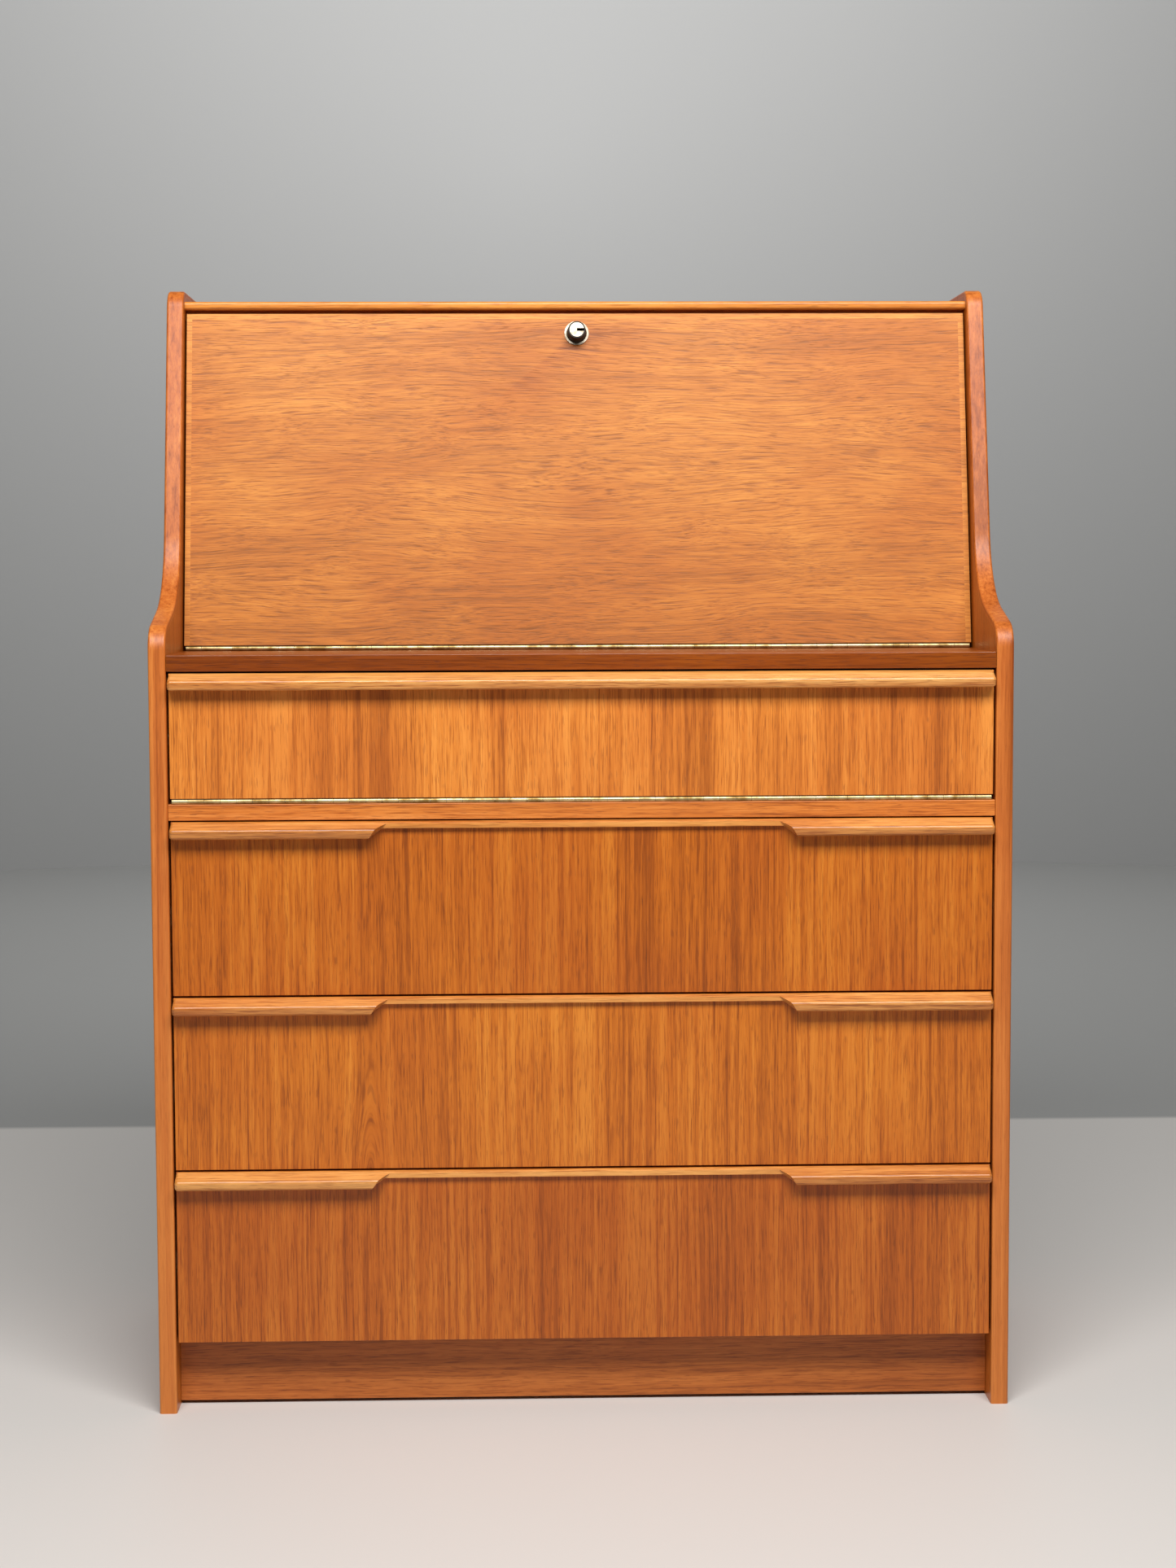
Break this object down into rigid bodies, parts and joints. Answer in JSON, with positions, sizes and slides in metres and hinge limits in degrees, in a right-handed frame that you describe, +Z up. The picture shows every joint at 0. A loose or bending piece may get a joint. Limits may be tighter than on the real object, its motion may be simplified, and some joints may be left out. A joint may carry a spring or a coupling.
{
  "type": "secretary desk",
  "caption": "Secretary desk with a sloping fall-down writing flap over a drop-front compartment and drawers, between shaped side panels.",
  "frame": {"origin": "on the floor, in the middle of the desk's width and overall depth", "axes": "+X across the desk to the right seen from the front, +Y from the front to the back, +Z up"},
  "size_m": [0.762, 0.4418, 1.0123],
  "materials": {
    "teak_veneer": "satin oiled",
    "teak_solid": "satin oiled, rubbed edges",
    "drawer_wood": "matt",
    "back_board": "matt",
    "brass": "polished, tarnished",
    "steel": "zinc plated",
    "lock_black": "satin",
    "catch_plastic": "matt"
  },
  "bodies": {
    "carcase": {"left_side": "teak_veneer", "right_side": "teak_veneer", "left_side_lipping": "teak_solid", "right_side_lipping": "teak_solid", "top_board": "teak_veneer", "top_nosing": "teak_solid", "writing_floor": "teak_veneer", "compartment_floor": "teak_veneer", "base_board": "teak_veneer", "plinth_front": "teak_veneer", "back_panel": "back_board", "back_pins": "steel", "letter_shelf": "teak_veneer", "letter_dividers": "teak_solid", "upper_hinge_fixed_leaf": "brass", "upper_hinge_carcase_screws": "brass", "upper_hinge_pin": "steel", "lower_hinge_fixed_leaf": "brass", "lower_hinge_carcase_screws": "brass", "lower_hinge_pin": "steel", "strike_plate": "brass", "magnetic_catches": "catch_plastic", "stay_studs": "steel", "drawer_runners": "drawer_wood"},
    "flap": {"writing_flap": "teak_veneer", "flap_lipping": "teak_solid", "upper_hinge_flap_leaf": "brass", "flap_hinge_screws": "brass", "flap_stay_brackets": "steel", "lock_barrel": "lock_black", "lock_ring": "brass"},
    "lock": {"lock_plug": "brass", "lock_cam": "steel"},
    "left_flap_arm": {"left_flap_stay": "steel"},
    "right_flap_arm": {"right_flap_stay": "steel"},
    "drop_front_leaf": {"drop_front": "teak_veneer", "drop_front_handle": "teak_solid", "lower_hinge_drop_leaf": "brass", "drop_hinge_screws": "brass", "drop_stay_brackets": "steel", "drop_catch_plates": "steel"},
    "left_drop_arm": {"left_drop_stay": "steel"},
    "right_drop_arm": {"right_drop_stay": "steel"},
    "drawer_1": {"drawer_1_front": "teak_veneer", "drawer_1_handle": "teak_solid", "drawer_1_sides": "drawer_wood", "drawer_1_back": "drawer_wood", "drawer_1_bottom": "back_board"},
    "drawer_2": {"drawer_2_front": "teak_veneer", "drawer_2_handle": "teak_solid", "drawer_2_sides": "drawer_wood", "drawer_2_back": "drawer_wood", "drawer_2_bottom": "back_board"},
    "drawer_3": {"drawer_3_front": "teak_veneer", "drawer_3_handle": "teak_solid", "drawer_3_sides": "drawer_wood", "drawer_3_back": "drawer_wood", "drawer_3_bottom": "back_board"}
  },
  "joints": [
    {"name": "flap_hinge", "type": "hinge", "parent": "carcase", "child": "flap", "pos_m": [0, -0.08427, 0.6804], "axis": [1, 0, 0], "range_deg": [0, 101.03]},
    {"name": "lock_turn", "type": "hinge", "parent": "flap", "child": "lock", "pos_m": [0, -0.02747, 0.97181], "axis": [0, -0.9815, 0.1913], "range_deg": [0, 90]},
    {"name": "left_flap_stay_pivot", "type": "hinge", "parent": "flap", "child": "left_flap_arm", "pos_m": [-0.3625, -0.03845, 0.80206], "axis": [1, 0, 0], "range_deg": [-50.6, 0]},
    {"name": "right_flap_stay_pivot", "type": "hinge", "parent": "flap", "child": "right_flap_arm", "pos_m": [0.3625, -0.03845, 0.80206], "axis": [1, 0, 0], "range_deg": [-50.6, 0]},
    {"name": "drop_front_hinge", "type": "hinge", "parent": "carcase", "child": "drop_front_leaf", "pos_m": [0, -0.20527, 0.5491], "axis": [1, 0, 0], "range_deg": [0, 90]},
    {"name": "left_drop_stay_pivot", "type": "hinge", "parent": "drop_front_leaf", "child": "left_drop_arm", "pos_m": [-0.3625, -0.18357, 0.60505], "axis": [1, 0, 0], "range_deg": [-45.1, 0]},
    {"name": "right_drop_stay_pivot", "type": "hinge", "parent": "drop_front_leaf", "child": "right_drop_arm", "pos_m": [0.3625, -0.18357, 0.60505], "axis": [1, 0, 0], "range_deg": [-45.1, 0]},
    {"name": "drawer_1_slide", "type": "slide", "parent": "carcase", "child": "drawer_1", "axis": [0, -1, 0], "range_m": [0, 0.3]},
    {"name": "drawer_2_slide", "type": "slide", "parent": "carcase", "child": "drawer_2", "axis": [0, -1, 0], "range_m": [0, 0.3]},
    {"name": "drawer_3_slide", "type": "slide", "parent": "carcase", "child": "drawer_3", "axis": [0, -1, 0], "range_m": [0, 0.3]}
  ],
  "couplings": [
    {"joint": "left_flap_stay_pivot", "follows": "flap_hinge", "ratio": -0.5},
    {"joint": "right_flap_stay_pivot", "follows": "flap_hinge", "ratio": -0.5},
    {"joint": "left_drop_stay_pivot", "follows": "drop_front_hinge", "ratio": -0.5},
    {"joint": "right_drop_stay_pivot", "follows": "drop_front_hinge", "ratio": -0.5}
  ]
}
